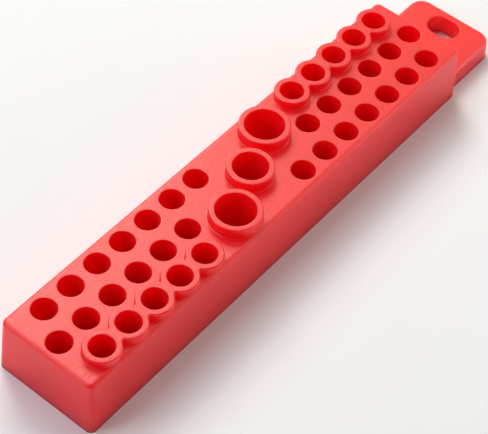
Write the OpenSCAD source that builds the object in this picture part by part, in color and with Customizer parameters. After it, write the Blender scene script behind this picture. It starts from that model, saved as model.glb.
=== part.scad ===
// Magnetic bit holder: a one-piece moulded block of sockets with a magnet strip let into its base.
// Millimetres. The origin is on the base, under the axis of the middle large socket.
// +X runs along the block to the hanging tab and +Z is up.

/* [Small sockets] */
// Bore of a small socket, for the shank of a quarter-inch bit
socket_d = 7.5; // [6.8:0.1:8]
// Distance from one socket to the next along a row
pitch = 10.5; // [10:0.1:13]
// Distance between two rows
row_gap = 10.5; // [10:0.1:13]
// Sockets in a plain outer row
plain_n = 7; // [4:1:9]
// Sockets that a middle row has fewer than a plain outer row
middle_fewer = 1; // [1:1:2]
// Sockets that a collared row has fewer than a plain outer row
collared_fewer = 2; // [2:1:3]
// Distance from the middle of the block to the first socket of a plain outer row
row_start = 12; // [11:0.5:20]

/* [Large sockets] */
// Bore of the two outer large sockets
big_d = 12.3; // [10:0.1:13]
// Bore of the middle large socket
middle_d = 10.9; // [9:0.1:12]
// Gap between the collars of two large sockets
big_gap = 2; // [1.5:0.1:4]
// Angle between the line of large sockets and the length of the block
big_angle = 25; // [10:1:26]

/* [Collars] */
// Wall of a collar round its socket
collar_t = 1.8; // [1.4:0.1:2]
// Height of a small collar above the top face
collar_h = 2.7; // [2:0.1:5]
// Height of a large collar above the top face
big_collar_h = 3.7; // [2:0.1:6]
// Rounding of the rim of a collar
rim_r = 0.4; // [0.2:0.1:0.6]
// Fillet between a collar and the top face
foot_r = 0.3; // [0.2:0.1:0.8]
// Fillet in the notch between two small collars that run into each other
notch_r = 0.7; // [0.5:0.1:2]

/* [Socket shape] */
// Rounding of a socket's mouth
mouth_r = 0.2; // [0.1:0.05:0.5]
// Fillet between a socket's wall and its floor
toe_r = 0.5; // [0.3:0.1:1]
// Plastic between the sockets and the magnet strip
floor_t = 2; // [1:0.5:4]

/* [Block] */
// Height of the block from base to top face
block_h = 20; // [14:0.5:30]
// Top face beyond the small collars, to the side of the block
side_land = 0.4; // [0.2:0.1:3]
// Top face beyond the end sockets, to the end of the block
end_land = 1.8; // [1.5:0.1:6]
// Lean of the outer walls, for release from the mould
draft = 2.6; // [0:0.1:4]
// Radius of the upright corners
corner_r = 1.9; // [1.5:0.1:4]
// Rounding of the top edges
edge_r = 1.3; // [0.5:0.1:1.5]

/* [Hanging tab] */
// Reach of the tab beyond the block at the base
tab_reach = 24.4; // [20:0.5:35]
// Thickness of the tab
tab_h = 7; // [4:0.5:12]
// Step from each side of the block in to the side of the tab
tab_step = 2.1; // [1:0.1:6]
// Radius of the upright corners of the tab
tab_corner_r = 4.8; // [2:0.1:7]
// Rounding of the top edges of the tab
tab_edge_r = 1.6; // [0.5:0.1:1.8]
// Width of the hanging slot, along the block
slot_w = 8.3; // [5:0.1:9]
// Length of the hanging slot, across the block
slot_l = 11; // [10:0.5:18]
// Tab left between the slot and the end of the tab, at the base
slot_end = 3.6; // [2.5:0.1:6]
// Rounding of the edges of the slot
slot_edge_r = 0.5; // [0.2:0.1:0.8]

/* [Magnet strip] */
// Thickness of the magnet strip
magnet_t = 2; // [1:0.5:3]
// Base left round the recess for the magnet strip
base_rim = 3.5; // [2:0.5:6]
// Radius of the corners of the recess
recess_corner_r = 2; // [1:0.5:4]
// Clearance between the strip and the sides of its recess
magnet_gap = 0.2; // [0.1:0.05:0.5]

/* [Hidden] */
$fn = 64;
// Fineness of the corners that are blended over the outside of the block
blend_fn = 32;
// Steps in each rounded profile
arc_n = 4;
// Steps in the rounded top edges of the block and the tab
edge_n = 6;
// How far a cut runs past the face it opens in
past = 1;
// How far a raised form runs into the block beneath it
sink = 3;
// Thickness of the discs that the outside of the block is blended from
film = 0.01;
// How far a hidden face stays inside the surface that covers it
skin = 0.03;

lean = tan(draft);
socket_r = socket_d / 2;
collar_r = socket_r + collar_t;
big_collar_r = big_d / 2 + collar_t;
middle_collar_r = middle_d / 2 + collar_t;
floor_z = magnet_t + floor_t;

middle_n = plain_n - middle_fewer;
collared_n = plain_n - collared_fewer;
last_x = row_start + (plain_n - 1) * pitch;
middle_last_x = last_x + pitch / 2;

top_l = 2 * (middle_last_x + socket_r + end_land);
top_w = 2 * (row_gap + collar_r + side_land);
base_l = top_l + 2 * block_h * lean;
base_w = top_w + 2 * block_h * lean;

big_step = middle_collar_r + big_gap + big_collar_r;
big_x = big_step * cos(big_angle);
big_y = big_step * sin(big_angle);

tab_x = base_l / 2 + tab_reach;
tab_w = base_w - 2 * tab_step;
slot_x = tab_x - slot_end - slot_w / 2;

recess_l = base_l - 2 * base_rim;
recess_w = base_w - 2 * base_rim;

// Sockets of one row, counted inwards from its outer end
function row(n, outer_x, y) = [for (i = [0:n - 1]) [outer_x - i * pitch, y]];

// The half of the block towards the tab; the other half is the same, turned half round
plain_row = row(plain_n, last_x, -row_gap);
middle_row = row(middle_n, middle_last_x, 0);
collared_row = row(collared_n, last_x, row_gap);

function on_circle(x, y, r, angle) = [x + r * cos(angle), y + r * sin(angle)];

// Points along a circle, from one angle to another
function arc(x, y, r, from, to, n = arc_n) =
    [for (i = [0:n]) on_circle(x, y, r, from + (to - from) * i / n)];

// Places what is given in both halves of the block
module both_halves() {
    for (turn = [0, 180]) {
        rotate([0, 0, turn]) children();
    }
}

module at_each(places) {
    for (p = places) {
        translate([p[0], p[1], 0]) children();
    }
}

// A flat disc with a rounded upper edge, standing on z = 0
module cushion_disc(r, edge) {
    rotate_extrude($fn = blend_fn) {
        polygon(concat([[0, 0]], arc(r - edge, 0, edge, 0, 90, edge_n), [[0, edge]]));
    }
}

// A leaning-walled slab from x_low to x_high, with upright corners and a rounded top edge
module soft_slab(x_low, x_high, w, h, corner, edge) {
    hull() {
        for (side = [-1, 1]) {
            for (x = [x_low + corner, x_high - corner]) {
                translate([x, side * (w / 2 - corner), 0]) cylinder(r = corner, h = film, $fn = blend_fn);
            }
            for (x = [x_low + corner + h * lean, x_high - corner - h * lean]) {
                translate([x, side * (w / 2 - corner - h * lean), h - edge]) cushion_disc(corner, edge);
            }
        }
    }
}

// The room under a roof whose slopes lie on the rounded long edges of the block
module under_roof() {
    reach = edge_r * cos(45) - skin;
    eave_y = top_w / 2 - edge_r + reach;
    eave_z = block_h - edge_r + reach;
    ridge_z = eave_z + eave_y;
    rotate([90, 0, 90]) linear_extrude(base_l, center = true) {
        polygon([[-eave_y, 0], [eave_y, 0], [eave_y, eave_z], [0, ridge_z], [-eave_y, eave_z]]);
    }
}

// One collar, solid, with a rounded rim
module collar(r, h) {
    translate([0, 0, block_h]) rotate_extrude() {
        polygon(concat([[0, -sink], [r, -sink]], arc(r - rim_r, h - rim_r, rim_r, 0, 90), [[0, h]]));
    }
}

// The fillet round the foot of one collar
module foot(r) {
    wide = r + foot_r - skin;
    translate([0, 0, block_h]) rotate_extrude() {
        polygon(concat([[0, -sink], [wide, -sink]], arc(wide, foot_r, foot_r, 270, 180), [[0, foot_r]]));
    }
}

// What joins the small collars of one row at each joint: a web with a filleted notch on each side.
// It starts in the middle of each collar's wall and narrows towards the axis of each notch.
// Collars that stand too far apart for their notches to leave a neck have no web.
module collar_webs() {
    joint_x = pitch / 2;
    notch_y = sqrt(max(0, pow(collar_r + notch_r, 2) - pow(joint_x, 2)));
    start = (collar_r - collar_t / 2) / (collar_r + notch_r);
    start_x = joint_x * (1 - start);
    start_y = notch_y * start;
    if (notch_y > notch_r + rim_r) {
        for (i = [1:collared_n - 1]) {
            translate([last_x - i * pitch + joint_x, row_gap, 0]) difference() {
                translate([0, 0, block_h - sink]) linear_extrude(sink + collar_h) polygon([
                    [start_x, -start_y], [start_x, start_y], [0, notch_y],
                    [-start_x, start_y], [-start_x, -start_y], [0, -notch_y]
                ]);
                at_each([[0, notch_y], [0, -notch_y]]) notch_cut();
            }
        }
    }
}

// What one notch takes out of a web, rounded at the top like the rims
module notch_cut() {
    top_z = block_h + collar_h;
    rotate_extrude() {
        polygon(concat(
            [[0, block_h - sink - past], [notch_r, block_h - sink - past]],
            arc(notch_r + rim_r, top_z - rim_r, rim_r, 180, 90),
            [[notch_r + rim_r, top_z + past], [0, top_z + past]]
        ));
    }
}

// What a socket takes out: a true bore with a filleted floor and a rounded mouth
module socket_cut(d, mouth_z) {
    r = d / 2;
    rotate_extrude() {
        polygon(concat(
            [[0, floor_z]],
            arc(r - toe_r, floor_z + toe_r, toe_r, -90, 0),
            arc(r + mouth_r, mouth_z - mouth_r, mouth_r, 180, 90),
            [[r + mouth_r, mouth_z + past], [0, mouth_z + past]]
        ));
    }
}

module collars() {
    both_halves() {
        at_each(collared_row) collar(collar_r, collar_h);
        collar_webs();
        at_each([[big_x, big_y]]) collar(big_collar_r, big_collar_h);
    }
    collar(middle_collar_r, big_collar_h);
}

// The fillets round all the collars, trimmed where they reach the long edges of the block
module feet() {
    intersection() {
        union() {
            both_halves() {
                at_each(collared_row) foot(collar_r);
                at_each([[big_x, big_y]]) foot(big_collar_r);
            }
            foot(middle_collar_r);
        }
        under_roof();
    }
}

module sockets() {
    both_halves() {
        at_each(plain_row) socket_cut(socket_d, block_h);
        at_each(middle_row) socket_cut(socket_d, block_h);
        at_each(collared_row) socket_cut(socket_d, block_h + collar_h);
        at_each([[big_x, big_y]]) socket_cut(big_d, block_h + big_collar_h);
    }
    socket_cut(middle_d, block_h + big_collar_h);
}

// Half the profile of a round-ended slot's edge, as a cut from the base to above the tab
slot_profile = concat(
    [[0, -past], [slot_w / 2 + slot_edge_r, -past]],
    arc(slot_w / 2 + slot_edge_r, slot_edge_r, slot_edge_r, 270, 180),
    arc(slot_w / 2 + slot_edge_r, tab_h - slot_edge_r, slot_edge_r, 180, 90),
    [[slot_w / 2 + slot_edge_r, tab_h + past], [0, tab_h + past]]
);

module slot_cut() {
    straight = slot_l - slot_w;
    translate([slot_x, 0, 0]) {
        for (side = [-1, 1]) {
            translate([0, side * straight / 2, 0]) rotate_extrude() polygon(slot_profile);
            rotate([90, 0, 0]) linear_extrude(straight, center = true) {
                polygon([for (p = slot_profile) [side * p[0], p[1]]]);
            }
        }
    }
}

// A flat plate with round corners, standing on z = 0
module plate(l, w, t, r) {
    linear_extrude(t) {
        square([l - 2 * r, w], center = true);
        square([l, w - 2 * r], center = true);
        for (x = [-1, 1], y = [-1, 1]) {
            translate([x * (l / 2 - r), y * (w / 2 - r)]) circle(r);
        }
    }
}

module body() {
    color([0.87, 0.16, 0.15]) difference() {
        union() {
            soft_slab(-base_l / 2, base_l / 2, base_w, block_h, corner_r, edge_r);
            soft_slab(0, tab_x, tab_w, tab_h, tab_corner_r, tab_edge_r);
            collars();
            feet();
        }
        sockets();
        slot_cut();
        translate([0, 0, -past]) plate(recess_l, recess_w, magnet_t + past, recess_corner_r);
    }
}

module magnet_strip() {
    color([0.13, 0.12, 0.12]) {
        gap = 2 * magnet_gap;
        plate(recess_l - gap, recess_w - gap, magnet_t, recess_corner_r - magnet_gap);
    }
}

body();
magnet_strip();
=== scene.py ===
"""The looks of a magnetic bit holder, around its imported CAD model.

The moulded body and the magnet strip get their materials here, and the scene gets a pale floor,
soft studio light and a camera at the photograph's place.
"""

import math

import bpy
from mathutils import Matrix, Vector


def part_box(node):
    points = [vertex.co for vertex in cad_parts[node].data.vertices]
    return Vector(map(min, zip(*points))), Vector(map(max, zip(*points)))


MM = 0.001
WHITE = (1, 1, 1)


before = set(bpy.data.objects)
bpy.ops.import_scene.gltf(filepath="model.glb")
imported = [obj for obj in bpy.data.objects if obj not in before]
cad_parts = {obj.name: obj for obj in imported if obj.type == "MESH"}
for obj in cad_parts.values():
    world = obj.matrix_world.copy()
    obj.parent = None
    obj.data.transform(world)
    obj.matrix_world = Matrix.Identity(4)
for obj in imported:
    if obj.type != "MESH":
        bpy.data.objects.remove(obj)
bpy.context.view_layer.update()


# Materials

# Most of a noise's values lie in this part of its range
NOISE_MIDDLE = (0.3, 0.7)
NOISE_ROUGHNESS = 0.55

# The places of a Mix node's colour sockets
MIX_FIRST = 6
MIX_SECOND = 7
MIX_RESULT = 2


class Shader:
    """A node material, with a short call for each kind of node that it needs."""

    def __init__(self, name):
        self.material = bpy.data.materials.new(name)
        self.material.use_nodes = True
        self.tree = self.material.node_tree
        self.surface = self.tree.nodes["Principled BSDF"]
        self.place = self.tree.nodes.new("ShaderNodeTexCoord").outputs["Object"]

    def link(self, source, target):
        self.tree.links.new(source, target)

    def set(self, **values):
        """Sets the surface's own sockets; an underscore in a name stands for a space."""
        for name, value in values.items():
            self.surface.inputs[name.replace("_", " ")].default_value = value

    def noise(self, grain_mm, detail, stretch=(1, 1, 1)):
        """Noise with features about grain_mm across, and stretch times as long along X, Y and Z."""
        scaled = self.tree.nodes.new("ShaderNodeMapping")
        scaled.inputs["Scale"].default_value = [1 / (grain_mm * MM * times) for times in stretch]
        self.link(self.place, scaled.inputs["Vector"])
        made = self.tree.nodes.new("ShaderNodeTexNoise")
        made.inputs["Scale"].default_value = 1.0
        made.inputs["Detail"].default_value = detail
        made.inputs["Roughness"].default_value = NOISE_ROUGHNESS
        self.link(scaled.outputs["Vector"], made.inputs["Vector"])
        return made.outputs["Fac"]

    def spread(self, noise, low, high, span=NOISE_MIDDLE):
        """Maps the span of a noise's range onto low to high."""
        made = self.tree.nodes.new("ShaderNodeMapRange")
        made.inputs["From Min"].default_value = span[0]
        made.inputs["From Max"].default_value = span[1]
        made.inputs["To Min"].default_value = low
        made.inputs["To Max"].default_value = high
        self.link(noise, made.inputs["Value"])
        return made.outputs["Result"]

    def blend(self, factor, first, second):
        """Mixes two colours; each is a colour or another node's output."""
        made = self.tree.nodes.new("ShaderNodeMix")
        made.data_type = "RGBA"
        self.link(factor, made.inputs["Factor"])
        for value, place in ((first, MIX_FIRST), (second, MIX_SECOND)):
            if isinstance(value, tuple):
                made.inputs[place].default_value = (*value, 1)
            else:
                self.link(value, made.inputs[place])
        return made.outputs[MIX_RESULT]

    def bump(self, height, depth_mm, strength, under=None):
        """Raises the surface by a height, on top of the bump given as under."""
        made = self.tree.nodes.new("ShaderNodeBump")
        made.inputs["Distance"].default_value = depth_mm * MM
        made.inputs["Strength"].default_value = strength
        self.link(height, made.inputs["Height"])
        if under is not None:
            self.link(under, made.inputs["Normal"])
        return made.outputs["Normal"]

    def finish(self, colour, roughness, normal):
        self.link(colour, self.surface.inputs["Base Color"])
        self.link(roughness, self.surface.inputs["Roughness"])
        self.link(normal, self.surface.inputs["Normal"])
        return self.material


DEEP_RED = (0.91, 0.004, 0.012)
CLOUD_RED = (0.94, 0.005, 0.016)
GRAIN_RED = (0.96, 0.030, 0.040)

# Red light scatters this far inside the plastic, green and blue light a twentieth as far
SCATTER_DEPTH = 7 * MM
SCATTER_SHARES = (1.0, 0.05, 0.05)


def moulded_red():
    """Semi-matt red plastic with a fine spark-eroded grain, shallow waves and faint flow clouds."""
    plastic = Shader("moulded_red")
    plastic.set(IOR=1.6, Subsurface_Weight=1.0)
    plastic.set(Subsurface_Scale=SCATTER_DEPTH, Subsurface_Radius=SCATTER_SHARES)
    clouds = plastic.noise(grain_mm=18, detail=2.0, stretch=(2, 1, 1))
    grain = plastic.noise(grain_mm=0.7, detail=3.0)
    waves = plastic.noise(grain_mm=9, detail=1.0)
    colour = plastic.blend(plastic.spread(clouds, low=0, high=1), DEEP_RED, CLOUD_RED)
    colour = plastic.blend(plastic.spread(grain, low=0, high=0.15), colour, GRAIN_RED)
    roughness = plastic.spread(grain, low=0.30, high=0.44)
    normal = plastic.bump(waves, depth_mm=0.12, strength=0.25)
    normal = plastic.bump(grain, depth_mm=0.07, strength=1.0, under=normal)
    return plastic.finish(colour, roughness, normal)


FERRITE_DARK = (0.020, 0.018, 0.017)
FERRITE_BROWN = (0.034, 0.030, 0.028)
PORE_DUST = (0.09, 0.085, 0.08)

# Only the upper part of the fine noise counts as a pore
PORE_SPAN = (0.55, 0.75)


def bonded_ferrite():
    """Dull brown-black magnet sheet with fine rolling lines along it and pale dust in its pores."""
    ferrite = Shader("bonded_ferrite")
    ferrite.set(IOR=1.5)
    lines = ferrite.noise(grain_mm=0.5, detail=3.0, stretch=(50, 1, 1))
    pores = ferrite.noise(grain_mm=0.25, detail=4.0)
    patches = ferrite.noise(grain_mm=14, detail=2.0)
    colour = ferrite.blend(ferrite.spread(patches, low=0, high=1), FERRITE_DARK, FERRITE_BROWN)
    colour = ferrite.blend(ferrite.spread(pores, low=0, high=0.3, span=PORE_SPAN), colour, PORE_DUST)
    roughness = ferrite.spread(lines, low=0.55, high=0.75)
    normal = ferrite.bump(lines, depth_mm=0.02, strength=0.4)
    normal = ferrite.bump(pores, depth_mm=0.02, strength=0.3, under=normal)
    return ferrite.finish(colour, roughness, normal)


# A little blue, to balance the warm lights
FLOOR_GREY = (0.87, 0.89, 0.96)
FLOOR_WHITE = (0.89, 0.91, 0.98)


def pale_floor():
    """Matt studio floor with broad, barely visible patches."""
    paint = Shader("pale_floor")
    paint.set(Specular_IOR_Level=0.1)
    mottle = paint.noise(grain_mm=400, detail=1.0)
    colour = paint.blend(paint.spread(mottle, low=0, high=1), FLOOR_GREY, FLOOR_WHITE)
    roughness = paint.spread(mottle, low=0.85, high=0.9)
    normal = paint.bump(mottle, depth_mm=0.01, strength=0.1)
    return paint.finish(colour, roughness, normal)


def dress(node, material):
    """Gives a CAD node one material."""
    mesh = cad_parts[node].data
    mesh.materials.clear()
    mesh.materials.append(material)


dress("body", moulded_red())
dress("magnet_strip", bonded_ferrite())


# Floor, a square that touches the body's base

FLOOR_HALF = 1.2
SQUARE = ((-1, -1), (1, -1), (1, 1), (-1, 1))
base_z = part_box("body")[0].z
floor_corners = [(x * FLOOR_HALF, y * FLOOR_HALF, base_z) for x, y in SQUARE]
floor_mesh = bpy.data.meshes.new("floor")
floor_mesh.from_pydata(floor_corners, [], [(0, 1, 2, 3)])
floor_mesh.materials.append(pale_floor())
floor = bpy.data.objects.new("floor", floor_mesh)
bpy.context.scene.collection.objects.link(floor)


# Light

LIGHT_DISTANCE = 1.5
WARM_WHITE = (1, 0.97, 0.81)
YELLOW_WHITE = (1, 0.95, 0.6)


def soft_light(name, azimuth, elevation, size, watts, colour=WHITE):
    """A square area light that faces the frame's origin.

    The azimuth is in degrees from +X towards +Y, and the size is the square's side in metres.
    """
    data = bpy.data.lights.new(name, "AREA")
    data.shape = "SQUARE"
    data.size = size
    data.energy = watts
    data.color = colour
    light = bpy.data.objects.new(name, data)
    turn = math.radians(azimuth)
    lift = math.radians(elevation)
    out = Vector((math.cos(lift) * math.cos(turn), math.cos(lift) * math.sin(turn), math.sin(lift)))
    light.location = out * LIGHT_DISTANCE
    light.rotation_mode = "QUATERNION"
    light.rotation_quaternion = out.to_track_quat("Z", "Y")
    bpy.context.scene.collection.objects.link(light)


soft_light("back", azimuth=56, elevation=42, size=0.6, watts=10.9, colour=WARM_WHITE)
soft_light("high back", azimuth=76, elevation=62, size=1.0, watts=6.2)
soft_light("high left", azimuth=138, elevation=49, size=0.7, watts=4.6)
soft_light("tab end", azimuth=22, elevation=36, size=0.9, watts=1.7, colour=YELLOW_WHITE)
soft_light("plain end", azimuth=150, elevation=27, size=0.6, watts=2.5)
soft_light("right", azimuth=335, elevation=42, size=0.9, watts=4.2, colour=WARM_WHITE)
soft_light("front", azimuth=318, elevation=12, size=0.6, watts=4.2, colour=WARM_WHITE)

# The height is the sine of the elevation at which the walls have faded into the dim room
WALL_HEIGHT = 0.3
WALL_STRENGTH = 0.75
ROOM_STRENGTH = 0.1


def studio_world():
    """A dim white room that is pale at the horizon and below it."""
    world = bpy.data.worlds.new("studio")
    world.use_nodes = True
    tree = world.node_tree
    direction = tree.nodes.new("ShaderNodeTexCoord").outputs["Generated"]
    parts = tree.nodes.new("ShaderNodeSeparateXYZ")
    fade = tree.nodes.new("ShaderNodeMapRange")
    fade.interpolation_type = "SMOOTHSTEP"
    fade.inputs["From Min"].default_value = 0.0
    fade.inputs["From Max"].default_value = WALL_HEIGHT
    fade.inputs["To Min"].default_value = WALL_STRENGTH
    fade.inputs["To Max"].default_value = ROOM_STRENGTH
    background = tree.nodes["Background"]
    background.inputs["Color"].default_value = (*WHITE, 1)
    tree.links.new(direction, parts.inputs["Vector"])
    tree.links.new(parts.outputs["Z"], fade.inputs["Value"])
    tree.links.new(fade.outputs["Result"], background.inputs["Strength"])
    return world


bpy.context.scene.world = studio_world()
bpy.context.scene.view_settings.view_transform = "Standard"


# Camera, at the photograph's place: worked out from the rims of the sockets

CAMERA_PLACE = Vector((-257.7, -176.8, 372.4)) * MM
HEADING = 34.52
DIP = 49.96
ROLL = 6.06
LENS = 119.5
SENSOR_WIDTH = 36


def photo_camera():
    """A camera that looks along HEADING from +X and down by DIP, turned by ROLL about its own axis.

    The three angles are in degrees, and the lens and the sensor in millimetres.
    """
    data = bpy.data.cameras.new("camera")
    data.sensor_width = SENSOR_WIDTH
    data.lens = LENS
    camera = bpy.data.objects.new("camera", data)
    turn = Matrix.Rotation(math.radians(HEADING - 90), 4, "Z")
    tip = Matrix.Rotation(math.radians(90 - DIP), 4, "X")
    roll = Matrix.Rotation(math.radians(ROLL), 4, "Z")
    camera.matrix_world = Matrix.Translation(CAMERA_PLACE) @ turn @ tip @ roll
    bpy.context.scene.collection.objects.link(camera)
    return camera


bpy.context.scene.camera = photo_camera()
